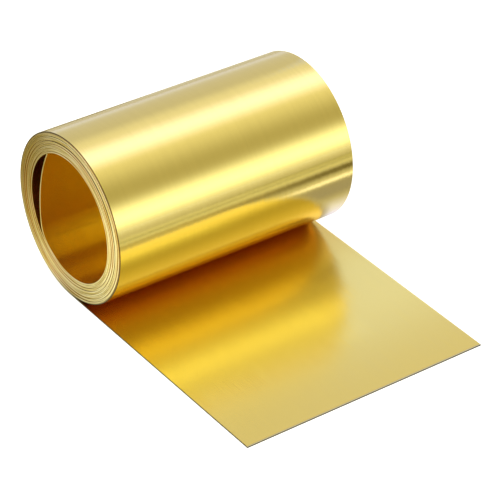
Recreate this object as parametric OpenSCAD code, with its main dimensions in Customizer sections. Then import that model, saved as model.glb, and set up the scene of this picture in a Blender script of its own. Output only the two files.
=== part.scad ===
// Roll of brass sheet: one long strip wound into a coil that lies on its side.
// The outer end runs out flat in front of the coil, and the coil rests on it.
// The inner end is loose: it bridges the back of the bore, and its tip springs against the wall.
// X is across the strip, along the coil's axis. The tail points to -Y, and Z = 0 is the underside.

/* [Strip] */
// Width of the strip, from slit edge to slit edge
strip_w = 100; // [20:1:300]
// Thickness of the strip
strip_t = 0.5; // [0.3:0.05:1]
// Broken edge that slitting leaves along both sides
edge_break = 0.12; // [0.04:0.01:0.2]

/* [Coil] */
// Diameter of the bore, at the innermost full turn
bore_d = 48.4; // [40:0.1:76]
// Number of full turns
turns = 14; // [3:1:40]
// Air between one turn and the next
turn_gap = 0.06; // [0.04:0.01:0.2]
// How far the edges of single turns wander sideways
edge_wander = 0.15; // [0:0.01:0.5]

/* [Tail] */
// Length of the flat outer end, from the line where it leaves the coil
tail_l = 105.5; // [20:0.5:400]

/* [Loose inner end] */
// Angle below the axis, at the back of the bore, where the inner end leaves the wall
leave_a = 50; // [30:1:70]
// Radius of the short bend that takes it off the wall
bend_r = 10; // [6:0.5:14]
// Angle that the short bend turns through
bend_a = 42; // [34:1:56]
// Radius of the flatter arc after the bend
arc_r = 55; // [45:1:90]
// Clearance of the tip from the wall it springs against
tip_gap = 0.3; // [0.1:0.05:0.4]

/* [Hidden] */
$fn = 180;

brass = [0.84, 0.69, 0.31];

// Each turn lies one pitch further in than the last. The spiral is drawn from two centres, half a
// pitch apart: the half turn at the back is struck from the lower one, the front one from the upper.
pitch = strip_t + turn_gap;
bore_r = bore_d / 2;
coil_r = bore_r + turns * pitch - turn_gap;
back_centre = [0, coil_r];
front_centre = [0, coil_r + pitch / 2];
front_r = coil_r - pitch / 2;

// The corner break leaves at least a third of the strip's edge flat
corner = min(edge_break, strip_t / 3);

// The origin lies on the floor, half way between the tail's end and the back of the coil
origin_y = (tail_l - coil_r) / 2;

// The inner end: the wall's own arc, then the short bend, then the flatter arc, each tangent to
// the next. Angles are measured at the back centre, from straight back and upwards. The bend's
// root starts a little early and is let into the turn it leaves, so that the strip is one body.
root_a = 3;
root_depth = 0.02;
inner_face_r = coil_r - turns * pitch;
bend_centre = (inner_face_r + root_depth - bend_r) * heading(-leave_a);
arc_start_a = bend_a - leave_a;
arc_centre = bend_centre - (arc_r - bend_r) * heading(arc_start_a);
tip_a = touch_angle(arc_centre, arc_r, bore_r - tip_gap);

// Unit vector at an angle in the plane across the axis, as [y, z]
function heading(a) = [cos(a), sin(a)];

// Angle, at centre c, where a circle of radius r about c first goes r_out away from the origin
function touch_angle(c, r, r_out) =
    atan2(-c[1], -c[0]) + acos((r * r + c * c - r_out * r_out) / (2 * r * norm(c)));

// Sideways place of turn k: it steps through seven places, and turn 0 is the middle one
function wander(k) = edge_wander * ((5 * k + 3) % 7 - 3) / 3;

// One slit edge of the strip, as [radius, x] points from its inner face to its outer face.
// side is 1 at the right edge and -1 at the left.
function slit_edge(outer_r, x, side) = [
    [outer_r - strip_t, x - side * corner],
    [outer_r - strip_t + corner, x],
    [outer_r - corner, x],
    [outer_r, x - side * corner]
];

function reversed(list) = [for (i = [len(list) - 1:-1:0]) list[i]];

// Section through n turns, the outermost at outer_r: the turns' edges up one end face and down
// the other, so that every turn shows there as its own land with a groove beside it
function wound_section(outer_r, n) = concat(
    [for (k = [n - 1:-1:0], p = slit_edge(outer_r - k * pitch, strip_w / 2 + wander(k), 1)) p],
    [for (k = [0:n - 1], p = reversed(slit_edge(outer_r - k * pitch, wander(k) - strip_w / 2, -1))) p]
);

// Section through the strip alone, turn k of it, with its outer face at outer_r
function strip_section(outer_r, k) = concat(
    slit_edge(outer_r, strip_w / 2 + wander(k), 1),
    reversed(slit_edge(outer_r, wander(k) - strip_w / 2, -1))
);

// Turns a section about a line along X through centre, from angle a0 up to angle a1
module turned(section, centre, a0, a1) {
    translate([0, centre[0], centre[1]])
        rotate([90, 0, 90])
            rotate_extrude(start = a0, angle = a1 - a0)
                polygon(section);
}

// The back half turns, from the tail's line at the bottom round the back to the top. Up to the
// place where the inner end leaves the wall, they are one turn deeper.
module back_half() {
    turned(wound_section(coil_r, turns + 1), back_centre, -90, -leave_a);
    turned(wound_section(coil_r, turns), back_centre, -leave_a, 90);
}

// The front half turns, from the top down to the bottom, one pitch above the floor there
module front_half() {
    turned(wound_section(front_r, turns), front_centre, 90, 270);
}

// The inner end of the strip, off the wall: drawn about the bend's centre, turned to the line
// where the bend meets the flatter arc
module loose_end() {
    translate([0, bend_centre[0], coil_r + bend_centre[1]])
        rotate([arc_start_a, 0, 0]) {
            turned(strip_section(bend_r, turns), [0, 0], -bend_a - root_a, 0);
            turned(strip_section(arc_r, turns), [bend_r - arc_r, 0], 0, tip_a - arc_start_a);
        }
}

// The outer end of the strip, flat on the floor
module tail() {
    rotate([90, 0, 0])
        linear_extrude(height = tail_l)
            polygon([for (p = strip_section(strip_t, 0)) [p[1], strip_t - p[0]]]);
}

module brass_sheet() {
    color(brass)
        translate([0, origin_y, 0]) {
            back_half();
            front_half();
            loose_end();
            tail();
        }
}

brass_sheet();
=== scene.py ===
"""Roll of brass sheet: one thin strip wound into a coil that rests on its own flat outer end.

Everything is in metres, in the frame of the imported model: X across the strip, the tail towards -Y,
and Z = 0 where the tail lies.
"""

import math

import bpy
import numpy as np
from mathutils import Matrix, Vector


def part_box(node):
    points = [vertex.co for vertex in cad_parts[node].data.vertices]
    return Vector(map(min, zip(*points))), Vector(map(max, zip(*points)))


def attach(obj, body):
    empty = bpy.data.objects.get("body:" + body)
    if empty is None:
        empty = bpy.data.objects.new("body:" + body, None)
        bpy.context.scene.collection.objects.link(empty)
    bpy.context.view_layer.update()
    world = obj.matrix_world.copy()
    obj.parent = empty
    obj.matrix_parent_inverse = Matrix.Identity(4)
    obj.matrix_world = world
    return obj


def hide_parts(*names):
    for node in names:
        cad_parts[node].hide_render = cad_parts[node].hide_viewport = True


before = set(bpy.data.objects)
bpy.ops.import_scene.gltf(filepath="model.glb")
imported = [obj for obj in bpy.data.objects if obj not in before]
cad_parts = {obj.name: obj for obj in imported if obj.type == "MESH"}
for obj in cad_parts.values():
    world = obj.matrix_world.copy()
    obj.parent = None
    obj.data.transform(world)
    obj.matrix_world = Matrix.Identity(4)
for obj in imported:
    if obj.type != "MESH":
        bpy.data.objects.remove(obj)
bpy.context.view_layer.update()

# The table that the roll lies on: one wide matt sheet, which keeps a soft shadow round the roll. The
# camera sees it white. The metal sees it as the pale grey that it is, a little lifted, with soft-edged
# patches of painted light and painted shade on it, which glow in place of the table's own shading.
table_reach = 3.0
table_drop = 0.00005
table_grey = (0.60, 0.57, 0.41)
table_white = 0.75
table_lift = 0.05
white = (1, 1, 1)
# Each painted patch of light or shade: its middle in X and Y, its half reach in X and Y, how soft its
# sides are, its light
table_painted_light = (
    # In front of the tail, for the faint bands low on the coil's front
    ((0.50, -0.205), (0.370, 0.050), (0.030, 0.030), (0.50, 0.48, 0.28)),
    ((0.00, -0.181), (1.000, 0.012), (0.100, 0.006), (1.12, 1.12, 0.85)),
    ((0.00, -0.145), (1.000, 0.009), (0.100, 0.004), (0.45, 0.45, 0.22)),
    ((0.00, -0.116), (1.000, 0.008), (0.100, 0.004), (1.12, 1.12, 0.85)),
    ((-0.93, -0.087), (1.000, 0.015), (0.030, 0.006), (0.70, 0.62, 0.33)),
    # On the right of the tail, for the dark and the bright lines at the coil's lower right
    ((0.40, -0.070), (0.345, 0.015), (0.050, 0.006), (0.18, 0.15, 0.05)),
    ((0.45, -0.0348), (0.396, 0.0045), (0.012, 0.0015), (1.85, 1.85, 2.10)),
    ((0.45, -0.016), (0.398, 0.012), (0.002, 0.006), (0.50, 0.48, 0.50)),
    ((0.45, 0.014), (0.397, 0.010), (0.003, 0.008), (1.15, 1.18, 1.65)),
    # On the left of the roll, which the metal shows only from other sides than the camera's
    ((-0.40, -0.060), (0.340, 0.130), (0.010, 0.020), (1.40, 1.35, 1.05)),
    ((-0.30, 0.000), (0.202, 0.110), (0.008, 0.012), (1.65, 1.50, 1.05)),
    # Close behind the roll: a dark one for the back of the ring of slit edges, and a light one that
    # shows only from other sides
    ((-0.02, 0.150), (0.085, 0.062), (0.012, 0.015), (0.30, 0.23, 0.06)),
    ((-0.05, 0.072), (0.022, 0.018), (0.006, 0.008), (0.95, 0.80, 0.30)),
    # Far behind the roll, for the cool light on the coil's upper back
    ((0.00, 1.900), (2.900, 1.090), (0.050, 0.300), (0.90, 0.94, 1.30)),
)


class Socket:
    """One socket of a node tree. Arithmetic on it adds Math nodes to the same tree."""

    def __init__(self, tree, link=None):
        self.tree = tree
        self.link = link

    def node(self, kind, settings, values, out=0):
        """Adds a node: its settings first, then the links or values of its sockets.

        A colour is given as three numbers, and gets its alpha of 1 here.
        """
        made = self.tree.nodes.new("ShaderNode" + kind)
        for name, value in settings.items():
            setattr(made, name, value)
        for name, value in values.items():
            socket = made.inputs[name]
            if isinstance(value, Socket):
                self.tree.links.new(value.link, socket)
            else:
                socket.default_value = (*value, 1) if socket.type == "RGBA" else value
        return Socket(self.tree, made.outputs[out] if made.outputs else None)

    def math(self, operation, *terms):
        return self.node("Math", {"operation": operation}, dict(enumerate(terms)))

    def __add__(self, other):
        return self.math("ADD", self, other)

    def __sub__(self, other):
        return self.math("SUBTRACT", self, other)

    def __rsub__(self, other):
        return self.math("SUBTRACT", other, self)

    def __mul__(self, other):
        return self.math("MULTIPLY", self, other)

    __radd__ = __add__
    __rmul__ = __mul__

    def ramp(self, start, end, smooth=False):
        """Goes from 0 to 1 as this value goes from start to end."""
        settings = {"interpolation_type": "SMOOTHSTEP" if smooth else "LINEAR"}
        return self.node("MapRange", settings, {"Value": self, "From Min": start, "From Max": end})

    def blend(self, first, second):
        """Colour that goes from the first to the second as this value goes from 0 to 1."""
        settings = {"data_type": "RGBA"}
        return self.node("Mix", settings, {"Factor": self, "A": first, "B": second}, "Result")

    def part(self, axis):
        """The X, Y or Z of this vector."""
        return self.node("SeparateXYZ", {}, {0: self}, axis)


def finish_tree(name):
    """A new material with an empty node tree, and a Socket to start it from."""
    material = bpy.data.materials.new(name)
    material.use_nodes = True
    material.node_tree.nodes.clear()
    return material, Socket(material.node_tree)


def mesh_piece(name, points, faces, material):
    """An object at the origin from an array of points and a list of faces, each a list of corners."""
    mesh = bpy.data.meshes.new(name)
    mesh.from_pydata(points, [], faces)
    mesh.materials.append(material)
    piece = bpy.data.objects.new(name, mesh)
    bpy.context.scene.collection.objects.link(piece)
    return piece


table_finish, shade = finish_tree("white_table")
by_camera = shade.node("LightPath", {}, {}, "Is Camera Ray")
by_metal = shade.node("LightPath", {}, {}, "Is Glossy Ray")
lit = shade.node("BsdfDiffuse", {}, {"Color": table_grey})
strength = by_camera * table_white + by_metal * table_lift
glow = shade.node("Emission", {}, {"Color": white, "Strength": strength})
seen = shade.node("AddShader", {}, {0: lit, 1: glow})
here = shade.node("TexCoord", {}, {}, "Object")
here_xy = (here.part("X"), here.part("Y"))
# Only the metal sees each patch: a glow that replaces the table's shading, painted light or painted
# shade.
for middles, reaches, softness, light in table_painted_light:
    cover = by_metal
    for at, middle, reach, soft in zip(here_xy, middles, reaches, softness):
        inside = reach - shade.math("ABSOLUTE", at - middle)
        cover = cover * inside.ramp(-soft, soft, smooth=True)
    painted_patch = shade.node("Emission", {}, {"Color": light, "Strength": 1.0})
    seen = shade.node("MixShader", {}, {0: cover, 1: seen, 2: painted_patch})
shade.node("OutputMaterial", {}, {"Surface": seen})

corner = np.array([[-1, -1], [1, -1], [1, 1], [-1, 1]]) * table_reach
table = mesh_piece(
    "table",
    np.column_stack([corner, np.full(4, -table_drop)]).tolist(),
    [[0, 1, 2, 3]],
    table_finish,
)

# The studio: a pale room with a wide soft light over the roll, and a dimmer, warmer stretch in front
# of it. The camera sees it white, and the metal sees it as it is. Its light changes smoothly on the
# way round from low behind the roll, over the top and down to the front.
low_back = (0.90, 0.94, 1.25)
# Each change: at which turn it lies, in degrees, half its width, and the light after it
room_zones = (
    (7, 6, (0.80, 0.80, 0.92)),
    (46, 10, (1.13, 1.13, 1.25)),
    (66, 11, (1.85, 1.90, 2.85)),
    (90, 11, (1.16, 1.13, 0.95)),
    (112, 20, (0.64, 0.60, 0.40)),
)

world = bpy.data.worlds.new("studio")
bpy.context.scene.world = world
world.use_nodes = True
world.node_tree.nodes.clear()
room = Socket(world.node_tree)
toward = room.node("TexCoord", {}, {}, "Generated")
turn = room.math("ARCTAN2", toward.part("Z"), toward.part("Y")) * math.degrees(1)

room_colour = low_back
for middle, spread, colour in room_zones:
    reached = turn.ramp(middle - spread, middle + spread, smooth=True)
    room_colour = reached.blend(room_colour, colour)
room_light = room.node("Background", {}, {"Color": room_colour, "Strength": 1.0})
white_room = room.node("Background", {}, {"Color": white, "Strength": 1.0})
by_camera = room.node("LightPath", {}, {}, "Is Camera Ray")
shown = room.node("MixShader", {}, {0: by_camera, 1: room_light, 2: white_room})
room.node("OutputWorld", {}, {"Surface": shown})

# Two softboxes, which the camera doesn't see. The long one in front of the tail shows in the coil's
# front as a bright band without edges. The low one behind the roll's right end makes the tail paler
# on that side.


def softbox(name, colour, level, long, high, place, turn, bell):
    """An area lamp that stands on its long side, brightest along a line at some height.

    bell: that height, and how far the light fades above and below it, as exp(-(distance / fade)^2).
    The power is four times area times level, at which a mirror shows the level on the bright line.
    """
    peak, above, below = bell
    lamp = bpy.data.lights.new(name, "AREA")
    lamp.shape = "RECTANGLE"
    lamp.size = long
    lamp.size_y = high
    lamp.color = colour
    lamp.energy = 4 * level * long * high
    lamp.use_nodes = True
    lamp.node_tree.nodes.clear()
    sheet = Socket(lamp.node_tree)
    height = sheet.node("NewGeometry", {}, {}, "Parametric").part("Y") * high
    off = sheet.math("MAXIMUM", (height - peak) * (1 / above), (peak - height) * (1 / below))
    glow = sheet.node("Emission", {}, {"Strength": sheet.math("EXPONENT", -1 * off * off)})
    sheet.node("OutputLight", {}, {"Surface": glow})
    box = bpy.data.objects.new(name, lamp)
    bpy.context.scene.collection.objects.link(box)
    box.location = place
    box.rotation_euler = (math.pi / 2, 0, turn)
    box.visible_camera = False


softbox(
    "front_softbox",
    colour=(0.74, 0.82, 0.97),
    level=1.55,
    long=1.4,
    high=0.34,
    place=(0.15, -0.263, 0.17),
    turn=0,
    bell=(0.118, 0.092, 0.070),
)
softbox(
    "back_softbox",
    colour=(0.05, 0.16, 1.0),
    level=0.70,
    long=0.4,
    high=0.18,
    place=(0.335, 0.14, 0.09),
    turn=math.pi,
    bell=(0.126, 0.045, 0.022),
)

# The strip: cold-rolled brass, slit to width, wound on a mandrel and let go. It is one mesh from
# the tail's end round all the turns to the tip of the loose inner end.
strip_w = 0.1
strip_t = 0.0005
turns = 14
turn_gap = 0.00006
edge_break = 0.00012
leave_angle = -50
bend_r = 0.010
bend_turn = 42
arc_r = 0.055
tip_clearance = 0.00005

low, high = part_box("brass_sheet")
coil_r = (high.z - low.z) / 2
axis_y = high.y - coil_r
axis_z = low.z + coil_r
tail_end = low.y
edge_play = high.x - strip_w / 2
pitch = strip_t + turn_gap

# Where the turns stand apart: the angle at the middle of the loose stretch, its half reach in
# degrees, the turns at which a gap opens, and the gap
loose_spots = (
    (150, 75, (6.17, 11.17), 0.00030),
    (85, 60, (3.0, 6.0, 9.0), 0.00012),
)
# A gap opens over this much of a turn on either side of its place
gap_opening = 0.25

# How many stations the path has along each stretch, and points round each corner of the section
tail_stations = 59
coil_stations = 2800
bend_stations = 39
arc_stations = 49
corner_points = 4


def step(value, width):
    """Smooth step from 0 to 1 as value goes from -width to width."""
    s = np.clip(value / width / 2 + 0.5, 0, 1)
    return s * s * (3 - 2 * s)


def depth_at(count, angle):
    """How far in from the coil's outside the strip lies after so many turns, at an angle.

    One pitch a turn. At a loose spot some gaps open, and the rest close to make up for them.
    """
    depth = pitch * count
    for middle, reach, places, gap in loose_spots:
        off = (angle - middle + 180) % 360 - 180
        weight = np.cos(np.clip(off / reach, -1, 1) * math.pi / 2) ** 2
        opened = sum(gap * step(count - place, gap_opening) for place in places)
        depth = depth + weight * (opened - count / turns * gap * len(places))
    return depth


def heading(degrees):
    """Unit vector at an angle in the plane across the axis, as (y, z)."""
    radians = np.radians(degrees)
    return np.array([np.cos(radians), np.sin(radians)])


def arc(centre, radius, start, end, stations):
    """Points at a radius about a centre, from one angle to another, without that at the first."""
    return centre + radius * heading(np.linspace(start, end, stations + 1)[1:]).T


def strip_path():
    """The line of the strip's outer face in the plane across the axis, as (y, z) points, the turn
    count at each, and the count at which the loose end leaves the coil.

    A straight tail, a spiral whose radius is the coil's less depth_at, then two tangent arcs:
    a short bend off the bore's wall and a flatter one, which ends where it meets the wall again.
    """
    axis = np.array([axis_y, axis_z])
    tail = np.linspace(tail_end, axis_y, tail_stations, endpoint=False)
    tail_points = np.column_stack([tail, np.full_like(tail, axis_z - coil_r)])

    count = np.linspace(0, turns + (leave_angle + 90) / 360, coil_stations)
    angle = count * 360 - 90
    radius = coil_r - depth_at(count, angle)
    coil_points = axis + (radius * heading(angle)).T

    bend_centre = axis + (radius[-1] - bend_r) * heading(leave_angle)
    arc_start = leave_angle + bend_turn
    arc_centre = bend_centre - (arc_r - bend_r) * heading(arc_start)
    wall_r = coil_r - pitch * (turns - 1) - strip_t - tip_clearance
    off = axis - arc_centre
    reach = np.hypot(*off)
    ratio = (arc_r**2 + reach**2 - wall_r**2) / (2 * arc_r * reach)
    tip = math.degrees(math.atan2(off[1], off[0]) + math.acos(ratio))
    bend_points = arc(bend_centre, bend_r, leave_angle, arc_start, bend_stations)
    arc_points = arc(arc_centre, arc_r, arc_start, tip, arc_stations)

    points = np.vstack([tail_points, coil_points, bend_points, arc_points])
    counts = np.full(len(points), count[-1])
    counts[:tail_stations] = 0
    counts[tail_stations : tail_stations + coil_stations] = count
    return points, counts, count[-1]


def strip_section():
    """The strip's section as a loop of (x, depth): flat faces, with a quarter round at each corner."""
    turned = np.radians(np.linspace(0, 90, corner_points))
    inset = edge_break * (1 - np.sin(turned))
    depth = edge_break * (1 - np.cos(turned))
    right_upper = np.column_stack([strip_w / 2 - inset, depth])
    right_lower = np.column_stack([right_upper[:, 0], strip_t - depth])[::-1]
    right = np.vstack([right_upper, right_lower])
    left = np.column_stack([-right[:, 0], right[:, 1]])[::-1]
    return np.vstack([right, left])


# The edges of the turns wander sideways by a sine of the turn count, which grows over the first turn
wander_middle = 0.5
wander_rate = 2.7
sharp_over = 12


def strip_mesh(name, points, counts, section, material):
    """Carries the section along the path: every station's loop lies square to the path there.

    A point is the path's point, plus the section's depth along the inward normal, with the section's
    x plus the wander as its X. Each end is closed by one face.
    """
    forward = np.gradient(points, axis=0)
    forward /= np.linalg.norm(forward, axis=1)[:, None]
    inward = np.column_stack([-forward[:, 1], forward[:, 0]])
    wander = edge_play * step(counts - wander_middle, wander_middle) * np.sin(counts * wander_rate)

    stations, loop = len(points), len(section)
    x = section[None, :, 0] + wander[:, None]
    y = points[:, None, 0] + inward[:, None, 0] * section[None, :, 1]
    z = points[:, None, 1] + inward[:, None, 1] * section[None, :, 1]
    grid = np.stack([x, y, z], axis=2).reshape(-1, 3)

    i = np.arange(stations - 1)[:, None] * loop
    j = np.arange(loop)[None, :]
    k = (j + 1) % loop
    sides = np.stack([i + j, i + loop + j, i + loop + k, i + k], axis=2).reshape(-1, 4)
    first_end = np.arange(loop).tolist()
    last_end = (np.arange(loop) + (stations - 1) * loop)[::-1].tolist()
    piece = mesh_piece(name, grid, sides.tolist() + [first_end, last_end], material)
    piece.data.shade_smooth()
    piece.data.set_sharp_from_angle(angle=math.radians(sharp_over))
    return piece


brass_finish, metal = finish_tree("rolled_brass")
path, counts, leave_count = strip_path()
section = strip_section()
strip = strip_mesh("strip", path, counts, section, brass_finish)

# The strip's points also carry what its finish reads. Where the coil and the tail close up to each
# other: the middle and the half width of the change, in turns and in metres from the tail's end
coil_closing = (0.895, 0.055)
tail_closing = (0.080, 0.020)
# In turns: how far in a cover begins, the half width of that change and of the one at its end, and
# how much of the wall lies behind the loose end
cover_start = 0.03
cover_ease = 0.02
tucked_turns = 0.28


def shut(closing, first, last):
    """How far a face is shut in: fully from one turn count to another, where a turn covers it.

    Before that it is half of how far the coil and the tail have closed up.
    """
    covered = step(counts - first - cover_start, cover_ease)
    return np.maximum(closing / 2, covered) * step(last - cover_ease - counts, cover_ease)


def keep_on_strip(name, kind, field, values):
    """Stores a value at each of the strip's points."""
    attribute = strip.data.attributes.new(name, kind, "POINT")
    attribute.data.foreach_set(field, values.astype(np.float32).ravel())


lengths = np.concatenate([[0], np.cumsum(np.linalg.norm(np.diff(path, axis=0), axis=1))])
section_x, section_depth = section.T
strip_place = np.stack(np.broadcast_arrays(section_x, lengths[:, None], section_depth), axis=2)
keep_on_strip("strip_place", "FLOAT_VECTOR", "vector", strip_place)

is_outer = section_depth < strip_t / 2
# How far each face is shut in, which sets its share of painted shade.
outer_shut = shut(step(counts - coil_closing[0], coil_closing[1]), 1, leave_count)
inner_shut = shut(step(lengths - tail_closing[0], tail_closing[1]), 0, leave_count - 1)
keep_on_strip("shut_in_shade", "FLOAT", "value", np.where(is_outer, outer_shut[:, None], inner_shut[:, None]))

# The wall behind the loose end, which gets painted shade.
past_leaving = counts - (leave_count - 1)
behind = step(past_leaving - cover_ease / 2, cover_ease)
behind = behind * step(tucked_turns - past_leaving, cover_ease)
keep_on_strip("behind_end", "FLOAT", "value", np.where(is_outer, 0, behind[:, None]))

# The finish: bright brass with the fine lines that rolling leaves along the strip, which blur its
# reflections across it. The outer face is smoother than the inner one, the tail's end is dull from
# handling, and the slit edges are a rougher mottle of pale burnished metal and gold.
outer_brass = (0.75, 0.60, 0.185)
inner_brass = (0.86, 0.685, 0.160)
dull_brass = (0.725, 0.56, 0.14)
highlight_brass = (0.94, 0.78, 0.20)
painted_shade_brass = (0.60, 0.30, 0.05)
tucked_shade_brass = (0.97, 0.52, 0.06)
edge_pale = (0.95, 0.895, 0.55)
edge_gold = (0.66, 0.535, 0.15)
edge_shade_brown = (0.42, 0.305, 0.065)
edge_shade_dark = (0.05, 0.035, 0.012)
outer_roughness = 0.12
inner_roughness = 0.21
edge_roughness = 0.42
line_width = 0.00004
line_run = 0.02
line_tilt = 0.35
streak_width = 0.0011
streak_run = 0.09
streak_depth = 0.07
mottle_run = 0.014
mottle_depth = 0.0004
wave_lean = 0.018
highlight_middle = 0.041
end_pale = 0.6
edge_shade_toward = (0, 0.966, 0.259)

# Each pair is the two ends of a ramp, nothing at the first and all of it at the second. These are
# depths into the strip
inner_depth = (0.3 * strip_t, 0.7 * strip_t)
rim_depth = (0.00044, 0.00026)
lower_depth = (0.00050, 0.00030)
# Lengths along the strip from the tail's end
end_reach = (0.0005, 0.0002)
clean_reach = (0.0, 0.045)
wave_rise = (0.0, 0.03)
wave_fall = (0.095, 0.075)
edge_shade_tail = (0.115, 0.095)
edge_shade_turn = (0.32, 0.29)
# Distances from the middle of the painted highlight's stretch, to the right of the strip's middle, and
# from the coil's axis
highlight_reach = (0.018, 0.004)
highlight_side = (0.027, 0.013)
edge_shade_reach = (0.012, 0.034)
# How far the surface faces sideways, and the noise of the mottle
edge_facing = (0.15, 0.5)
gold_reach = (-0.15, 0.15)

place = metal.node("Attribute", {"attribute_name": "strip_place"}, {}, "Vector")
across_strip, along, depth = (place.part(axis) for axis in "XYZ")


def strip_noise(cells, detail):
    """Noise about 0 over the strip, in so many cells a metre across it, along it and in depth."""
    stretched = metal.node("VectorMath", {"operation": "MULTIPLY"}, {0: place, 1: cells})
    return metal.node("TexNoise", {}, {"Vector": stretched, "Scale": 1.0, "Detail": detail}) - 0.5


sideways = metal.math("ABSOLUTE", metal.node("TexCoord", {}, {}, "Normal").part("X"))
is_inner = depth.ramp(*inner_depth)
at_end = along.ramp(*end_reach)
is_edge = metal.math("MAXIMUM", sideways.ramp(*edge_facing), at_end)

# The rolling lines tilt the surface sideways, and the tail's upper face leans with a slight wave
tilt = strip_noise((1 / line_width, 1 / line_run, 0), 1.0) * line_tilt * (1 - is_edge)
wave = along.ramp(*wave_rise) * along.ramp(*wave_fall) * is_inner * (1 - is_edge) * wave_lean
lean = metal.node("CombineXYZ", {}, {"X": tilt, "Y": wave})
surface_normal = metal.node("NewGeometry", {}, {}, "Normal")
leaning = metal.node("VectorMath", {"operation": "ADD"}, {0: surface_normal, 1: lean})
normal = metal.node("VectorMath", {"operation": "NORMALIZE"}, {0: leaning})

# The inner face is dull at the tail's end, and a painted highlight makes it brighter in a stretch a
# little way in, where it shows the coil's reflection. Between the turns and near the contact both faces
# get painted shade, a darker brass, and the wall behind the loose end a deep, warm gold, also painted
# shade.
inner_colour = along.ramp(*clean_reach, smooth=True).blend(dull_brass, inner_brass)
# Painted highlight: brighter brass where the tail shows the coil's bright reflection.
painted_highlight = metal.math("ABSOLUTE", along - highlight_middle).ramp(*highlight_reach, smooth=True)
painted_highlight = painted_highlight * across_strip.ramp(*highlight_side)
inner_colour = painted_highlight.blend(inner_colour, highlight_brass)
shut_in_shade = metal.node("Attribute", {"attribute_name": "shut_in_shade"}, {}, "Fac")
behind_end = metal.node("Attribute", {"attribute_name": "behind_end"}, {}, "Fac")
face_colour = shut_in_shade.blend(is_inner.blend(outer_brass, inner_colour), painted_shade_brass)
face_colour = behind_end.blend(face_colour, tucked_shade_brass)
streaks = strip_noise((1 / streak_width, 1 / streak_run, 0), 2.0) * streak_depth
shine = 1 + streaks * (1 - is_inner)
face_colour = metal.node("VectorMath", {"operation": "SCALE"}, {0: face_colour, "Scale": shine})
face_roughness = outer_roughness + (inner_roughness - outer_roughness) * is_inner

# Painted shade: the slit edge is dark along the tail, where it lies on the table, and along the rim of
# the coil.
# Round the ring of turns it is browner, painted shade, on the side away from the tail, a little above
# the axis.
under = depth.ramp(*lower_depth)
edge_shade_share = along.ramp(*edge_shade_tail) * (1 - at_end * (1 - under) * end_pale)
rim_shade_share = along.ramp(*edge_shade_turn) * depth.ramp(*rim_depth)
edge_shade_share = metal.math("MAXIMUM", edge_shade_share, rim_shade_share)
there = metal.node("TexCoord", {}, {}, "Object")
from_axis = metal.node("VectorMath", {"operation": "SUBTRACT"}, {0: there, 1: (0, axis_y, axis_z)})
away = metal.node("VectorMath", {"operation": "DOT_PRODUCT"}, {0: from_axis, 1: edge_shade_toward}, "Value")
mottle = strip_noise((0, 1 / mottle_run, 1 / mottle_depth), 2.0)
edge_colour = mottle.ramp(*gold_reach).blend(edge_pale, edge_gold)
edge_colour = away.ramp(*edge_shade_reach).blend(edge_colour, edge_shade_brown)
edge_colour = edge_shade_share.blend(edge_colour, edge_shade_dark)

shader = metal.node(
    "BsdfPrincipled",
    {},
    {
        "Base Color": is_edge.blend(face_colour, edge_colour),
        "Metallic": 1.0,
        "Roughness": face_roughness + (edge_roughness - face_roughness) * is_edge,
        "Normal": normal,
    },
)
metal.node("OutputMaterial", {}, {"Surface": shader})

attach(strip, "root")
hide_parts("brass_sheet")

# The camera stands in front of the roll's left end, above it, and looks down along its length. The
# light that goes to and fro in the bore and between the coil and the tail needs many bounces.
camera_from = (-0.4504, -0.5964, 0.5258)
camera_yaw = 37.12
camera_pitch = 34.06
camera_roll = 1.52
focal_pixels = 2586
picture_pixels = 500
sensor_width = 36
metal_bounces = 12

yaw, pitch_down, roll = (math.radians(a) for a in (camera_yaw, camera_pitch, camera_roll))
ahead = np.array(
    [math.sin(yaw) * math.cos(pitch_down), math.cos(yaw) * math.cos(pitch_down), -math.sin(pitch_down)]
)
level_right = np.array([math.cos(yaw), -math.sin(yaw), 0])
level_up = np.cross(level_right, ahead)
right = math.cos(roll) * level_right + math.sin(roll) * level_up
above = np.cross(right, ahead)
camera = bpy.data.cameras.new("camera")
camera.sensor_width = sensor_width
camera.lens = focal_pixels / picture_pixels * sensor_width
viewer = bpy.data.objects.new("camera", camera)
bpy.context.scene.collection.objects.link(viewer)
viewer.matrix_world = Matrix(
    [[right[i], above[i], -ahead[i], camera_from[i]] for i in range(3)] + [[0, 0, 0, 1]]
)
bpy.context.scene.camera = viewer

bpy.context.scene.view_settings.view_transform = "Standard"
bpy.context.scene.cycles.glossy_bounces = metal_bounces
